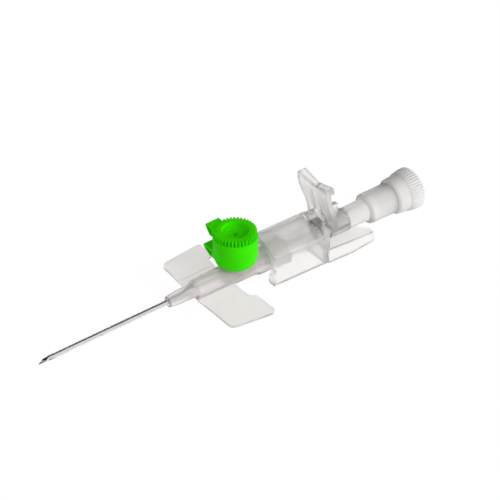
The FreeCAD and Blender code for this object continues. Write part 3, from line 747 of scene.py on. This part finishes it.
    def finished(self, name: str, body: Body, finish: bpy.types.Material, slot: str,
                 nodes: list[str], crease: float = 34.0) -> bpy.types.Object:
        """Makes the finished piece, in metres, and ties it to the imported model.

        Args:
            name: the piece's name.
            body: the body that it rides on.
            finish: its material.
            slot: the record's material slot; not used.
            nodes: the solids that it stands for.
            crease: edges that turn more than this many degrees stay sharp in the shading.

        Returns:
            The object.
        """
        bmesh.ops.scale(self.shape, vec=(MM, MM, MM), verts=self.shape.verts)
        mesh = bpy.data.meshes.new(name)
        self.shape.to_mesh(mesh)
        self.shape.free()
        mesh.shade_smooth()
        mesh.set_sharp_from_angle(angle=math.radians(crease))
        mesh.materials.clear()
        mesh.materials.append(finish)
        thing = bpy.data.objects.new(name, mesh)
        bpy.context.scene.collection.objects.link(thing)
        even = thing.modifiers.new("even_shading", "WEIGHTED_NORMAL")
        even.keep_sharp = True
        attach(thing, body.value)
        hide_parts(*nodes)
        LOG.info("%s: %d faces, for %s", name, len(mesh.polygons), ", ".join(nodes))
        return thing


PLANE_YZ = Matrix(((0, 0, 1, 0), (1, 0, 0, 0), (0, 1, 0, 0), (0, 0, 0, 1)))
AT_PORT = Matrix.Translation((PORT_X, 0, 0))


# The cannula's own pieces


@dataclass
class NeedleAndTube:
    """The steel needle, the soft catheter over it and the eyelet that wedges it in the hub."""

    outside: float = 0.95
    bore: float = 0.60
    tip_x: float = -36.1
    end_x: float = 43.0
    bevel_length: float = 2.9
    lancet_half_angle: float = 17.5
    tube_outside: float = 1.30
    tube_bore: float = 1.00
    tube_tip_x: float = -33.2
    tube_tip_outside: float = 1.10
    tube_taper: float = 2.5
    shank_x: float = 4.6
    shank_outside: float = 1.50
    flare_x: float = 6.1
    flare_outside: float = 2.30
    eyelet_collar: float = 0.9
    eyelet_wall: float = 0.14
    steps: int = 48

    def build(self) -> None:
        """Builds the three pieces."""
        self.build_needle()
        self.build_tube()
        self.build_eyelet()

    def build_needle(self) -> None:
        """Turns the tube and grinds its long bevel and its two lancet facets."""
        tube = Workpiece.turned(Turning.NEEDLE, [
            (self.tip_x, self.bore),
            (self.tip_x, self.outside),
            (self.end_x, self.outside),
            (self.end_x, self.bore),
        ], self.steps, ring=True)
        radius = self.outside / 2
        slope = Vector((-self.outside, 0, self.bevel_length))
        tube.ground(Vector((self.tip_x, 0, -radius)), slope)
        angle = math.radians(self.lancet_half_angle)
        for side in (-1, 1):
            facet = Vector((-math.sin(angle), side * math.cos(angle), 0))
            tube.ground(Vector((self.tip_x, 0, 0)), facet)
        tube.finished("needle_steel", Body.NEEDLE, STEEL.material(), "steel", ["needle"], 20.0)

    def build_tube(self) -> None:
        """Turns the soft tube with its thinned tip and its flare."""
        wall = (self.tube_outside - self.tube_bore) / 2
        tube = Workpiece.turned(Turning.NEEDLE, [
            (self.tube_tip_x, self.tube_bore),
            (self.tube_tip_x, self.tube_tip_outside),
            (self.tube_tip_x + self.tube_taper, self.tube_outside),
            (0, self.tube_outside),
            (self.shank_x, self.shank_outside),
            (self.flare_x, self.flare_outside),
            (self.flare_x, self.flare_outside - 2 * wall),
            (self.shank_x, self.shank_outside - 2 * wall),
            (0, self.tube_bore),
        ], self.steps, ring=True)
        tube.softened(0.03, 50.0, 2)
        tube.finished(
            "catheter_soft_tube", Body.CATHETER, SOFT_TUBE.material(), "catheter_plastic",
            ["catheter_tube"])

    def build_eyelet(self) -> None:
        """Turns the steel wedge ring with its rolled collar."""
        wall = (self.tube_outside - self.tube_bore) / 2
        flare_bore = self.flare_outside - 2 * wall
        ring = Workpiece.turned(Turning.NEEDLE, [
            (self.shank_x, self.shank_outside - 2 * wall - 0.1),
            (self.shank_x, self.shank_outside - 2 * wall),
            (self.flare_x, flare_bore),
            (self.flare_x, self.flare_outside),
            (self.flare_x + self.eyelet_collar, self.flare_outside),
            (self.flare_x + self.eyelet_collar, self.flare_outside - 2 * self.eyelet_wall),
            (self.flare_x, flare_bore - 2 * self.eyelet_wall),
        ], self.steps, ring=True)
        ring.softened(0.03, 50.0, 2)
        ring.finished(
            "catheter_wedge_ring", Body.CATHETER, STEEL.material(), "steel", ["catheter_eyelet"])


@dataclass
class Hub:
    """The clear hub with its wings, its port tower and the silicone sleeve inside."""

    edge_round: float = 0.10
    valve_length: float = 8.0
    valve_outside: float = 3.9
    valve_bore: float = 3.0

    def build(self) -> None:
        """Builds the hub moulding and the sleeve."""
        hub = Workpiece.copied("catheter_hub").flattened(0.5).softened(self.edge_round)
        hub.finished(
            "hub_moulding", Body.CATHETER, HUB_PLASTIC.material(), "clear_hub", ["catheter_hub"])
        half = self.valve_length / 2
        sleeve = Workpiece.turned(Turning.NEEDLE, [
            (PORT_X - half, self.valve_bore),
            (PORT_X - half, self.valve_outside),
            (PORT_X + half, self.valve_outside),
            (PORT_X + half, self.valve_bore),
        ], 48, ring=True).softened(0.12, 50.0, 3)
        sleeve.finished(
            "valve_sleeve", Body.CATHETER, SILICONE_AND_SHADE.material(), "silicone", ["port_valve"])


@dataclass
class PortCap:
    """The green collar on the port tower and the toothed cap in it."""

    tower: float = 6.0
    clearance: float = 0.06
    collar_bottom: float = 2.8
    collar_top: float = 9.7
    collar_outside: float = 10.1
    collar_wall: float = 0.9
    collar_web: float = 1.5
    collar_round: float = 0.14
    collar_taper: float = 0.6
    collar_taper_height: float = 1.75
    cap_top: float = 11.1
    cap_outside: float = 9.75
    cap_edge: float = 0.1
    tooth_depth: float = 0.75
    tooth_count: int = 36
    tooth_land: float = 0.2
    tooth_over: float = 0.3
    recess: float = 6.1
    recess_depth: float = 0.85
    dish: float = 4.3
    dish_depth: float = 1.1
    hole: float = 1.3
    hole_depth: float = 2.0
    hole_draft: float = 0.26
    edge_round: float = 0.3
    skirt_wall: float = 0.55
    skirt_depth: float = 2.2
    tower_top: float = 9.0
    plug_depth: float = 3.0
    plug_outside: float = 4.21
    plug_taper: float = 0.06
    luer_gap: float = 0.03
    tab_width: float = 3.7
    tab_offset: float = -1.8
    upper_reach: float = 6.1
    lower_reach: float = 6.9
    tab_lip: float = 0.5
    tab_pocket: float = 0.9
    tab_rim: float = 0.45
    tab_heel: float = 0.4
    tab_overlap: float = 0.2
    tab_pass: float = 0.15
    tab_round: float = 0.09
    upper_gusset: float = 2.5
    lower_tab_top: float = 5.0

    def build(self) -> None:
        """Builds both green mouldings."""
        green = GREEN_PLASTIC.material()
        self.build_collar(green)
        self.build_cap(green)

    def tab(self, root: float, reach: float, top: float, foot: float) -> Workpiece:
        """Builds one pull tab: a ledge with a slanted underside and a pocket in its side.

        Args:
            root: the radius that it grows from.
            reach: how far it stands out from the port's line.
            top: its top face's height.
            foot: where its slope meets the collar.

        Returns:
            The tab.
        """
        radius = self.collar_outside / 2
        start = PORT_X + self.tab_offset - self.tab_width / 2
        heel = radius - self.tab_heel
        rim = self.tab_rim
        lean = (reach - heel) / (top - self.tab_lip - foot)
        wall = math.sqrt(radius ** 2 - (self.tab_width / 2 - self.tab_offset) ** 2) + rim
        tab = Workpiece.prism([
            (0, top),
            (reach, top),
            (reach, top - self.tab_lip),
            (heel, foot),
            (0, foot),
        ], start, start + self.tab_width, PLANE_YZ).softened(self.tab_round, 20.0, 3)
        pocket = Workpiece.prism([
            (wall, top - rim),
            (reach - rim, top - rim),
            (reach - rim, top - self.tab_lip - rim / 2),
            (heel - rim + lean * rim, foot + rim),
            (wall, foot + rim),
        ], start - self.tooth_over, start + self.tab_pocket, PLANE_YZ)
        core = Workpiece.turned(Turning.PORT, [
            (foot - 1, 0),
            (foot - 1, 2 * root),
            (top + 1, 2 * root),
            (top + 1, 0),
        ], 96)
        return tab.joined(pocket, Joining.DIFFERENCE).joined(core, Joining.DIFFERENCE)

    def build_collar(self, green: bpy.types.Material) -> None:
        """Builds the turning sleeve with its web and its lower tab.

        Args:
            green: the shared green finish.
        """
        bore = self.tower + 2 * self.clearance
        inner = self.collar_outside - 2 * self.collar_wall
        web_top = self.collar_bottom + self.collar_web
        body = Workpiece.turned(Turning.PORT, [
            (self.collar_bottom, bore),
            (self.collar_bottom, self.collar_outside - 2 * self.collar_taper),
            (self.collar_bottom + self.collar_taper_height, self.collar_outside),
            (self.collar_top, self.collar_outside),
            (self.collar_top, inner),
            (web_top, inner),
            (web_top, bore),
        ], 96, ring=True).softened(self.collar_round, 50.0, 4)
        foot = self.collar_bottom + self.edge_round / 2
        root = self.collar_outside / 2 - self.collar_wall + self.tab_overlap
        tab = self.tab(root, self.lower_reach, self.lower_tab_top, foot)
        body.joined(tab).finished(
            "collar_moulding", Body.COLLAR, green, "green_plastic", ["port_collar"])

    def build_cap(self, green: bpy.types.Material) -> None:
        """Builds the toothed cap with its recess, skirt, plug and upper tab.

        Args:
            green: the shared green finish.
        """
        skirt_in = self.tower + 2 * self.clearance
        skirt_out = skirt_in + 2 * self.skirt_wall
        skirt_z = self.tower_top - self.skirt_depth
        plug_z = self.tower_top - self.plug_depth
        floor = self.cap_top - self.recess_depth
        dish_floor = self.cap_top - self.dish_depth
        under = self.tower_top + self.luer_gap
        lid = Workpiece.turned(Turning.PORT, [
            (plug_z, 0),
            (plug_z, self.plug_outside - self.plug_taper * self.plug_depth),
            (self.tower_top, self.plug_outside),
            (under, self.plug_outside),
            (under, skirt_in),
            (skirt_z, skirt_in),
            (skirt_z, skirt_out),
            (self.collar_top, skirt_out),
            (self.collar_top, self.cap_outside),
            (self.cap_top - self.cap_edge, self.cap_outside),
            (self.cap_top, self.cap_outside - 2 * self.cap_edge),
            (self.cap_top, self.recess + 2 * self.cap_edge),
            (floor, self.recess),
            (floor, self.dish),
            (dish_floor, self.dish - self.edge_round),
            (dish_floor, self.hole),
            (self.cap_top - self.hole_depth, self.hole - self.hole_draft),
            (self.cap_top - self.hole_depth, 0),
        ], 144).softened(0.05, 30.0, 3)
        inner = self.cap_outside / 2 - self.tooth_depth
        outer = self.cap_outside / 2 + self.tooth_over
        half_gap = (math.pi * self.cap_outside / self.tooth_count - self.tooth_land) / 2
        flank = half_gap * (self.tooth_depth + self.tooth_over) / self.tooth_depth
        notch = Workpiece.prism([
            (inner, 0),
            (outer, -flank),
            (outer, flank),
        ], self.collar_top - self.tooth_over, self.cap_top + self.tooth_over, AT_PORT)
        notch.repeated(Turning.PORT, self.tooth_count)
        lid.joined(notch, Joining.DIFFERENCE)
        top = self.cap_top - self.edge_round / 2
        tab = self.tab(
            inner - self.tab_overlap, self.upper_reach, top, self.cap_top - self.upper_gusset)
        across = self.collar_outside + 2 * self.tab_pass
        keep_out = Workpiece.turned(Turning.PORT, [
            (0, 0),
            (0, across),
            (self.collar_top, across),
            (self.collar_top, 0),
        ], 96)
        tab.joined(keep_out, Joining.DIFFERENCE)
        lid.joined(tab).finished(
            "cap_moulding", Body.CAP, green, "green_plastic", ["port_cap"], 28.0)


@dataclass
class NeedleGrip:
    """The clear grip that shrouds the luer joint, with a near-black block in its well that stands for the shade
    there (painted shade).
    """

    edge_round: float = 0.12
    shade_block_front: float = 40.0
    shade_block_length: float = 2.6
    shade_block_width: float = 2.2
    shade_block_foot: float = -1.0
    shade_block_top: float = 3.1
    shade_block_corner: float = 0.6
    needle_outside: float = 0.95

    def build(self) -> None:
        """Builds the grip moulding and the near-black block that paints the shade in its well."""
        grip = Workpiece.copied("needle_grip").flattened(0.5).softened(self.edge_round)
        grip.finished(
            "grip_moulding", Body.NEEDLE, GRIP_PLASTIC.material(), "clear_grip", ["needle_grip"])
        rear = self.shade_block_front + self.shade_block_length
        half = self.shade_block_width / 2
        # Painted shade: this near-black block sits in the well to stand for the shadow there.
        shade_block = Workpiece.prism([
            (self.shade_block_front, -half),
            (rear, -half),
            (rear, half),
            (self.shade_block_front, half),
        ], self.shade_block_foot, self.shade_block_top, Matrix.Identity(4), self.shade_block_corner).softened(0.12, 50.0, 3)
        needle_way = Workpiece.turned(Turning.NEEDLE, [
            (self.shade_block_front - 1, 0),
            (self.shade_block_front - 1, self.needle_outside),
            (rear + 1, self.needle_outside),
            (rear + 1, 0),
        ], 48)
        shade_block.joined(needle_way, Joining.DIFFERENCE).finished(
            "well_shade_block", Body.NEEDLE, WELL_SHADE_PLASTIC.material(), "dark_plastic", ["needle_bush"])


@dataclass
class ChamberAndStopper:
    """The clear flash chamber, its porous vent plug and the white stopper."""

    chamber_round: float = 0.12
    chamber_start: float = 55.2
    filter_start: float = 59.8
    filter_end: float = 61.8
    filter_outside: float = 5.3
    stopper_front: float = 62.35
    stopper_end: float = 69.1
    stopper_outside: float = 8.3
    rim_outside: float = 9.7
    shoulder: float = 0.5

    def build(self) -> None:
        """Builds the three pieces."""
        chamber = Workpiece.copied("flash_chamber").flattened(0.5).softened(self.chamber_round)
        chamber.finished(
            "chamber_moulding", Body.NEEDLE, CHAMBER_PLASTIC.material(), "clear_chamber",
            ["flash_chamber"])
        plug = Workpiece.turned(Turning.NEEDLE, [
            (self.filter_start, 0),
            (self.filter_start, self.filter_outside),
            (self.filter_end, self.filter_outside),
            (self.filter_end, 0),
        ], 64).softened(0.15, 50.0, 3)
        plug.finished(
            "vent_plug", Body.NEEDLE, FILTER_PLASTIC.material(), "filter_plastic", ["vent_filter"])
        neck = self.stopper_outside - 2 * self.shoulder
        keep_in = Workpiece.turned(Turning.NEEDLE, [
            (self.chamber_start, 0),
            (self.chamber_start, neck),
            (self.stopper_front, neck),
            (self.stopper_front + 0.3 * self.shoulder, neck + self.shoulder),
            (self.stopper_front + self.shoulder, self.stopper_outside),
            (self.stopper_end, self.rim_outside + self.shoulder),
            (self.stopper_end + 1, self.rim_outside + self.shoulder),
            (self.stopper_end + 1, 0),
        ], 96)
        stopper = Workpiece.copied("stopper").flattened(0.3).softened(0.06)
        stopper.joined(keep_in, Joining.INTERSECT).finished(
            "stopper_moulding", Body.STOPPER, WHITE_PLASTIC.material(), "white_plastic", ["stopper"])


# Camera, floor and light


@dataclass(frozen=True)
class PhotoCamera:
    """The long lens of the photograph, aimed so that the port stands where it does there."""

    azimuth: float = -37.6
    elevation: float = 36.7
    roll: float = -0.5
    distance: float = 3.0
    pixels_per_mm: float = 4.51
    port_pixel: tuple[float, float] = (235.6, 270.0)
    image_size: float = 500.0
    sensor: float = 36.0

    def set_up(self) -> None:
        """Makes the camera and sets it as the scene's."""
        turn, rise, roll = (math.radians(a) for a in (self.azimuth, self.elevation, self.roll))
        back = Vector((
            math.sin(turn) * math.cos(rise), -math.cos(turn) * math.cos(rise), math.sin(rise)))
        level = Vector((math.cos(turn), math.sin(turn), 0))
        above = back.cross(level)
        right = level * math.cos(roll) + above * math.sin(roll)
        up = above * math.cos(roll) - level * math.sin(roll)
        per_pixel = MM / self.pixels_per_mm
        across = (self.image_size / 2 - self.port_pixel[0]) * per_pixel
        height = (self.port_pixel[1] - self.image_size / 2) * per_pixel
        data = bpy.data.cameras.new("photo_camera")
        data.sensor_width = self.sensor
        data.lens = self.distance / per_pixel * self.sensor / self.image_size
        data.clip_start = 0.1
        data.clip_end = 20.0
        camera = bpy.data.objects.new("photo_camera", data)
        bpy.context.scene.collection.objects.link(camera)
        turned = Matrix((right, up, back)).transposed().to_4x4()
        place = Vector((PORT_X * MM, 0, 0)) + right * across + up * height + back * self.distance
        camera.matrix_world = Matrix.Translation(place) @ turned
        bpy.context.scene.camera = camera


@dataclass(frozen=True)
class Lamp:
    """One soft box, which may be kept out of the steel's mirror and of what plastic lets through."""

    name: str
    azimuth: float
    elevation: float
    distance: float
    size: float
    level: float
    mirrored: bool = True

    def set_up(self, aim: Vector) -> None:
        """Hangs the lamp and points it.

        Args:
            aim: the point that it faces.
        """
        turn, rise = math.radians(self.azimuth), math.radians(self.elevation)
        towards = Vector((
            math.sin(turn) * math.cos(rise), -math.cos(turn) * math.cos(rise), math.sin(rise)))
        data = bpy.data.lights.new(self.name, "AREA")
        data.shape = "SQUARE"
        data.size = self.size
        data.energy = self.level * math.pi ** 2 * self.distance ** 2
        lamp = bpy.data.objects.new(self.name, data)
        bpy.context.scene.collection.objects.link(lamp)
        lamp.location = aim + towards * self.distance
        lamp.rotation_mode = "QUATERNION"
        lamp.rotation_quaternion = towards.to_track_quat("Z", "Y")
        lamp.visible_glossy = self.mirrored
        lamp.visible_transmission = self.mirrored


@dataclass(frozen=True)
class Studio:
    """A plain pale floor, a white surround and soft lamps."""

    floor_half: float = 2.0
    ambient: float = 0.22
    floor_share: float = 0.12
    lamps: tuple[Lamp, ...] = (
        Lamp("key_lamp", 32.0, 20.0, 0.8, 0.6, 1.0, mirrored=False),
        Lamp("top_lamp", -60.0, 70.0, 0.9, 0.6, 0.16),
        Lamp("fill_lamp", -80.0, 18.0, 0.9, 0.8, 0.30),
    )
    card: tuple[float, ...] = (-0.25, 0.65, 0.35, 0.02, 0.9, 0.55)

    def set_up(self) -> None:
        """Lays the floor, lights the object and sets the view transform."""
        aim = (CAD_LOW + CAD_HIGH) / 2
        for lamp in self.lamps:
            lamp.set_up(aim)
        self.lay_floor()
        self.stand_card()
        self.surround()
        bpy.context.scene.view_settings.view_transform = "Standard"

    @staticmethod
    def seen_straight(board: Board, in_gloss: float) -> bpy.types.NodeSocket:
        """Finds the rays that show the background: from the eye, through glass and off gloss.

        Args:
            board: the tree's board.
            in_gloss: how much of it a reflection shows.

        Returns:
            A mask, one for rays from the eye and through glass.
        """
        path = board.node("ShaderNodeLightPath")
        gloss = board.maths("MULTIPLY", path.outputs["Is Glossy Ray"], in_gloss)
        either = board.maths("MAXIMUM", path.outputs["Is Camera Ray"], gloss)
        return board.maths("MAXIMUM", either, path.outputs["Is Transmission Ray"])

    def lay_floor(self) -> None:
        """Makes the pale floor, which keeps the object's shadow."""
        bm = bmesh.new()
        bmesh.ops.create_grid(bm, x_segments=1, y_segments=1, size=self.floor_half)
        height = CAD_LOW.z - FLOOR_GAP * MM
        bmesh.ops.translate(bm, vec=(0, 0, height), verts=bm.verts)
        mesh = bpy.data.meshes.new("floor")
        bm.to_mesh(mesh)
        bm.free()
        floor = bpy.data.objects.new("floor", mesh)
        bpy.context.scene.collection.objects.link(floor)
        mesh.materials.append(self.floor_material())

    def stand_card(self) -> None:
        """Stands a dark card behind the object, which only gloss shows, as a dark line along the steel."""
        start, end, away, low, high, over = self.card
        bm = bmesh.new()
        bmesh.ops.create_grid(bm, x_segments=1, y_segments=1, size=0.5)
        lean = math.pi / 2 + math.atan2(over, high - low)
        bmesh.ops.scale(bm, vec=(end - start, math.hypot(over, high - low), 1.0), verts=bm.verts)
        bmesh.ops.rotate(bm, matrix=Matrix.Rotation(lean, 3, "X"), verts=bm.verts)
        middle = ((start + end) / 2, away - over / 2, (low + high) / 2)
        bmesh.ops.translate(bm, vec=middle, verts=bm.verts)
        mesh = bpy.data.meshes.new("dark_card")
        bm.to_mesh(mesh)
        bm.free()
        card = bpy.data.objects.new("dark_card", mesh)
        bpy.context.scene.collection.objects.link(card)
        felt = bpy.data.materials.new("dark_felt")
        felt.use_nodes = True
        felt.node_tree.nodes["Principled BSDF"].inputs["Base Color"].default_value = (0.02, 0.02, 0.02, 1.0)
        mesh.materials.append(felt)
        card.visible_camera = False
        card.visible_diffuse = False
        card.visible_shadow = False

    def floor_material(self) -> bpy.types.Material:
        """Builds the floor's finish: a pale matt sheet that shows white where nothing shades it.

        Returns:
            The material.
        """
        material = bpy.data.materials.new("pale_sheet")
        material.use_nodes = True
        board = Board(material.node_tree)
        sheet = material.node_tree.nodes["Principled BSDF"]
        sheet.inputs["Base Color"].default_value = (0.92, 0.92, 0.92, 1.0)
        sheet.inputs["Roughness"].default_value = 0.9
        glow = board.node("ShaderNodeEmission", {"Color": (1.0, 1.0, 1.0), "Strength": 1.07})
        share = board.maths("MULTIPLY", self.seen_straight(board, 0.5), 1.0 - self.floor_share)
        mix = board.node("ShaderNodeMixShader", {"Fac": share})
        board.feed(mix.inputs[1], sheet.outputs["BSDF"])
        board.feed(mix.inputs[2], glow.outputs["Emission"])
        board.feed(material.node_tree.nodes["Material Output"].inputs["Surface"], mix.outputs[0])
        return material

    def surround(self) -> None:
        """Makes the world: white where it is seen, and a plain soft level where it lights."""
        world = bpy.data.worlds.new("white_surround")
        bpy.context.scene.world = world
        world.use_nodes = True
        board = Board(world.node_tree)
        for old in list(world.node_tree.nodes):
            world.node_tree.nodes.remove(old)
        light = board.node("ShaderNodeBackground", {
            "Color": (1.0, 1.0, 1.0), "Strength": self.ambient})
        white = board.node("ShaderNodeBackground", {"Color": (1.0, 1.0, 1.0), "Strength": 1.0})
        mix = board.node("ShaderNodeMixShader", {"Fac": self.seen_straight(board, 1.0)})
        board.feed(mix.inputs[1], light.outputs[0])
        board.feed(mix.inputs[2], white.outputs[0])
        out = board.node("ShaderNodeOutputWorld")
        board.feed(out.inputs["Surface"], mix.outputs[0])


def main() -> None:
    """Sets up the view and the studio, and builds each sub-assembly in order."""
    logging.basicConfig(level=logging.INFO, format="%(name)s: %(message)s")
    PhotoCamera().set_up()
    Studio().set_up()
    for assembly in (NeedleAndTube(), Hub(), PortCap(), NeedleGrip(), ChamberAndStopper()):
        LOG.info("building %s", type(assembly).__name__)
        assembly.build()


if __name__ == "__main__":
    main()
